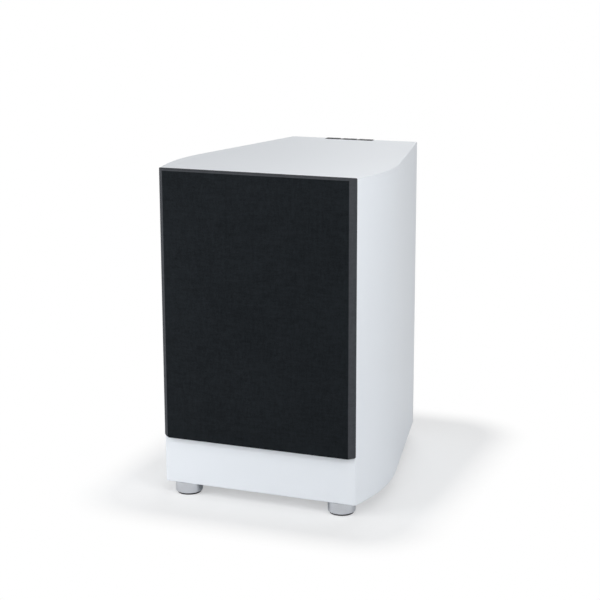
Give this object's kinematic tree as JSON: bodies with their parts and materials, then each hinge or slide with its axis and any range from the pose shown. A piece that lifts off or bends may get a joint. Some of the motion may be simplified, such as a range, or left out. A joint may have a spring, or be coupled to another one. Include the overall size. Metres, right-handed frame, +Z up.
{
  "type": "bookshelf speaker",
  "caption": "Two-way active bookshelf speaker: bowed, tapered cabinet with a thin pull-off cloth grille, metal feet, rear port, amplifier plate and top keys.",
  "frame": {"origin": "on the floor, under the middle of the bounding box", "axes": "the grille faces -Y, +X is the right side seen from the front, +Z is up"},
  "size_m": [0.213, 0.2786, 0.3183],
  "materials": {
    "white_lacquer": "gloss white lacquer over MDF",
    "bare_board": "raw MDF edge",
    "grille_cloth": "fine black acoustic cloth",
    "black_moulding": "fine textured black moulding",
    "key_plastic": "dark grey satin key",
    "chrome": "polished chrome",
    "rubber": "matt black rubber",
    "steel": "zinc plated steel",
    "black_screws": "black zinc plated steel",
    "ferrite": "sintered ferrite",
    "cast_black": "cast aluminium, black powder coat",
    "black_plate": "black anodised aluminium",
    "bare_aluminium": "milled aluminium",
    "cone_paper": "coated paper cone",
    "dust_cap": "satin black cap",
    "silk": "coated silk dome",
    "spider_cloth": "resin dipped cotton",
    "copper": "enamelled copper wire",
    "former": "voice coil former",
    "wadding": "polyester wadding",
    "circuit_board": "green solder mask",
    "components": "moulded component bodies",
    "plated_brass": "gold plated brass",
    "red_plastic": "red insulator",
    "white_plastic": "white insulator"
  },
  "bodies": {
    "cabinet": {"front_baffle": "white_lacquer", "back_panel": "white_lacquer", "top_panel": "white_lacquer", "bottom_panel": "white_lacquer", "side_panel_left": "white_lacquer", "side_panel_right": "white_lacquer", "window_brace": "bare_board", "damping_wadding": "wadding", "foot_front_left": "chrome", "foot_front_right": "chrome", "foot_rear_left": "chrome", "foot_rear_right": "chrome", "foot_pads": "rubber", "foot_screws": "steel", "grille_cups": "rubber", "woofer_basket": "cast_black", "woofer_gasket": "rubber", "woofer_screws": "black_screws", "woofer_surround": "rubber", "woofer_spider": "spider_cloth", "woofer_top_plate": "steel", "woofer_magnet": "ferrite", "woofer_yoke": "steel", "tweeter_faceplate": "black_moulding", "tweeter_screws": "black_screws", "tweeter_roll": "silk", "tweeter_top_plate": "steel", "tweeter_magnet": "ferrite", "tweeter_yoke": "steel", "tweeter_chamber": "black_moulding", "port_tube": "black_moulding", "amplifier_plate": "black_plate", "amplifier_screws": "black_screws", "amplifier_cover": "black_moulding", "amplifier_board": "circuit_board", "board_components": "components", "board_spacers": "steel", "heat_spreader": "bare_aluminium", "input_barrels": "plated_brass", "input_core_left": "white_plastic", "input_core_right": "red_plastic", "mains_inlet": "black_moulding", "mains_inlet_pins": "steel", "power_switch_frame": "black_moulding", "control_tray": "key_plastic", "control_board": "circuit_board", "driver_leads": "black_moulding"},
    "grille": {"grille_frame": "black_moulding", "grille_cloth": "grille_cloth", "grille_pegs": "black_moulding"},
    "woofer_diaphragm": {"woofer_cone": "cone_paper", "woofer_dust_cap": "dust_cap", "woofer_coil_former": "former", "woofer_coil": "copper"},
    "tweeter_diaphragm": {"tweeter_dome": "silk", "tweeter_coil": "copper"},
    "volume_down": {"volume_down_key": "key_plastic"},
    "power": {"power_key": "key_plastic"},
    "volume_up": {"volume_up_key": "key_plastic"},
    "mains_switch": {"power_rocker": "key_plastic"}
  },
  "joints": [
    {"name": "grille_pull_off", "type": "slide", "parent": "cabinet", "child": "grille", "axis": [0, -1, 0], "range_m": [0, 0.04]},
    {"name": "woofer_stroke", "type": "slide", "parent": "cabinet", "child": "woofer_diaphragm", "axis": [0, -1, 0], "range_m": [-0.0025, 0.0025], "stiffness_N_per_m": 1000, "deforming": ["woofer_surround", "woofer_spider"]},
    {"name": "tweeter_stroke", "type": "slide", "parent": "cabinet", "child": "tweeter_diaphragm", "axis": [0, -1, 0], "range_m": [-0.00025, 0.00025], "stiffness_N_per_m": 1500, "deforming": ["tweeter_roll"]},
    {"name": "volume_down_press", "type": "slide", "parent": "cabinet", "child": "volume_down", "axis": [0, 0, -1], "range_m": [0, 0.0006], "stiffness_N_per_m": 600},
    {"name": "power_press", "type": "slide", "parent": "cabinet", "child": "power", "axis": [0, 0, -1], "range_m": [0, 0.0006], "stiffness_N_per_m": 600},
    {"name": "volume_up_press", "type": "slide", "parent": "cabinet", "child": "volume_up", "axis": [0, 0, -1], "range_m": [0, 0.0006], "stiffness_N_per_m": 600},
    {"name": "mains_switch_rock", "type": "hinge", "parent": "cabinet", "child": "mains_switch", "pos_m": [0.028, 0.12785, 0.0626], "axis": [1, 0, 0], "range_deg": [0, 16]}
  ]
}
